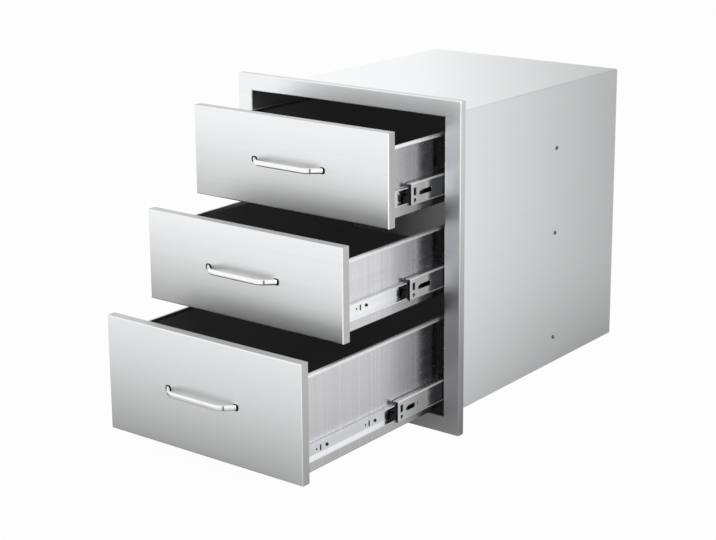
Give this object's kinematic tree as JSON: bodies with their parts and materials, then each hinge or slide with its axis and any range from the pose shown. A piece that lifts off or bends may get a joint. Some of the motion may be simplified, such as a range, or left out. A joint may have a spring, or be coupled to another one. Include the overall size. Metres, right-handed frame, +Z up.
{
  "type": "outdoor kitchen drawer unit",
  "caption": "Built-in stainless steel drawer unit for an outdoor kitchen, with a face frame, folded cabinet and stacked drawers on ball-bearing slides with bow handles",
  "frame": {"origin": "middle of the cabinet's underside, in the plane of the face frame's back edge that seats against the counter's front", "axes": "X to the right of someone facing the fronts, Y back into the cabinet, Z up; drawers open towards -Y"},
  "size_m": [0.457, 0.916, 0.55],
  "materials": {
    "stainless_sheet": "brushed stainless sheet",
    "handle_steel": "satin stainless bar",
    "rail_steel": "bright rolled stainless strip",
    "screw_steel": "plain stainless",
    "black_plastic": "moulded black plastic"
  },
  "bodies": {
    "cabinet": {"bottom_left_cabinet_rail": "rail_steel", "bottom_right_cabinet_rail": "rail_steel", "cabinet_back": "stainless_sheet", "cabinet_floor": "stainless_sheet", "cabinet_wrap": "stainless_sheet", "face_frame": "stainless_sheet", "middle_left_cabinet_rail": "rail_steel", "middle_right_cabinet_rail": "rail_steel", "rear_bumpers": "black_plastic", "slide_screws": "screw_steel", "top_left_cabinet_rail": "rail_steel", "top_right_cabinet_rail": "rail_steel"},
    "top_middle_rails": {"top_left_middle_rail": "rail_steel", "top_right_middle_rail": "rail_steel", "top_rail_stops": "black_plastic"},
    "top_drawer": {"top_front_liner": "stainless_sheet", "top_front_pan": "stainless_sheet", "top_handle": "handle_steel", "top_handle_screws": "screw_steel", "top_left_drawer_rail": "rail_steel", "top_rail_screws": "screw_steel", "top_right_drawer_rail": "rail_steel", "top_tub": "stainless_sheet", "top_tub_back": "stainless_sheet"},
    "top_outer_bearings": {"top_outer_cages": "rail_steel"},
    "top_inner_bearings": {"top_inner_cages": "rail_steel"},
    "middle_middle_rails": {"middle_left_middle_rail": "rail_steel", "middle_right_middle_rail": "rail_steel", "middle_rail_stops": "black_plastic"},
    "middle_drawer": {"middle_front_liner": "stainless_sheet", "middle_front_pan": "stainless_sheet", "middle_handle": "handle_steel", "middle_handle_screws": "screw_steel", "middle_left_drawer_rail": "rail_steel", "middle_rail_screws": "screw_steel", "middle_right_drawer_rail": "rail_steel", "middle_tub": "stainless_sheet", "middle_tub_back": "stainless_sheet"},
    "middle_outer_bearings": {"middle_outer_cages": "rail_steel"},
    "middle_inner_bearings": {"middle_inner_cages": "rail_steel"},
    "bottom_middle_rails": {"bottom_left_middle_rail": "rail_steel", "bottom_right_middle_rail": "rail_steel", "bottom_rail_stops": "black_plastic"},
    "bottom_drawer": {"bottom_front_liner": "stainless_sheet", "bottom_front_pan": "stainless_sheet", "bottom_handle": "handle_steel", "bottom_handle_screws": "screw_steel", "bottom_left_drawer_rail": "rail_steel", "bottom_rail_screws": "screw_steel", "bottom_right_drawer_rail": "rail_steel", "bottom_tub": "stainless_sheet", "bottom_tub_back": "stainless_sheet"},
    "bottom_outer_bearings": {"bottom_outer_cages": "rail_steel"},
    "bottom_inner_bearings": {"bottom_inner_cages": "rail_steel"}
  },
  "joints": [
    {"name": "top_middle_rails_slide", "type": "slide", "parent": "cabinet", "child": "top_middle_rails", "axis": [0, -1, 0], "range_m": [-0.127, 0.127]},
    {"name": "top_drawer_slide", "type": "slide", "parent": "top_middle_rails", "child": "top_drawer", "axis": [0, -1, 0], "range_m": [-0.017, 0.237]},
    {"name": "top_outer_bearings_roll", "type": "slide", "parent": "cabinet", "child": "top_outer_bearings", "axis": [0, -1, 0], "range_m": [-0.0635, 0.0635]},
    {"name": "top_inner_bearings_roll", "type": "slide", "parent": "top_middle_rails", "child": "top_inner_bearings", "axis": [0, -1, 0], "range_m": [-0.0085, 0.1185]},
    {"name": "middle_middle_rails_slide", "type": "slide", "parent": "cabinet", "child": "middle_middle_rails", "axis": [0, -1, 0], "range_m": [-0.13, 0.124]},
    {"name": "middle_drawer_slide", "type": "slide", "parent": "middle_middle_rails", "child": "middle_drawer", "axis": [0, -1, 0], "range_m": [-0.127, 0.127]},
    {"name": "middle_outer_bearings_roll", "type": "slide", "parent": "cabinet", "child": "middle_outer_bearings", "axis": [0, -1, 0], "range_m": [-0.065, 0.062]},
    {"name": "middle_inner_bearings_roll", "type": "slide", "parent": "middle_middle_rails", "child": "middle_inner_bearings", "axis": [0, -1, 0], "range_m": [-0.0635, 0.0635]},
    {"name": "bottom_middle_rails_slide", "type": "slide", "parent": "cabinet", "child": "bottom_middle_rails", "axis": [0, -1, 0], "range_m": [-0.162, 0.092]},
    {"name": "bottom_drawer_slide", "type": "slide", "parent": "bottom_middle_rails", "child": "bottom_drawer", "axis": [0, -1, 0], "range_m": [-0.193, 0.061]},
    {"name": "bottom_outer_bearings_roll", "type": "slide", "parent": "cabinet", "child": "bottom_outer_bearings", "axis": [0, -1, 0], "range_m": [-0.081, 0.046]},
    {"name": "bottom_inner_bearings_roll", "type": "slide", "parent": "bottom_middle_rails", "child": "bottom_inner_bearings", "axis": [0, -1, 0], "range_m": [-0.0965, 0.0305]}
  ],
  "couplings": [
    {"joint": "top_outer_bearings_roll", "follows": "top_middle_rails_slide", "ratio": 0.5},
    {"joint": "top_inner_bearings_roll", "follows": "top_drawer_slide", "ratio": 0.5},
    {"joint": "middle_outer_bearings_roll", "follows": "middle_middle_rails_slide", "ratio": 0.5},
    {"joint": "middle_inner_bearings_roll", "follows": "middle_drawer_slide", "ratio": 0.5},
    {"joint": "bottom_outer_bearings_roll", "follows": "bottom_middle_rails_slide", "ratio": 0.5},
    {"joint": "bottom_inner_bearings_roll", "follows": "bottom_drawer_slide", "ratio": 0.5}
  ]
}
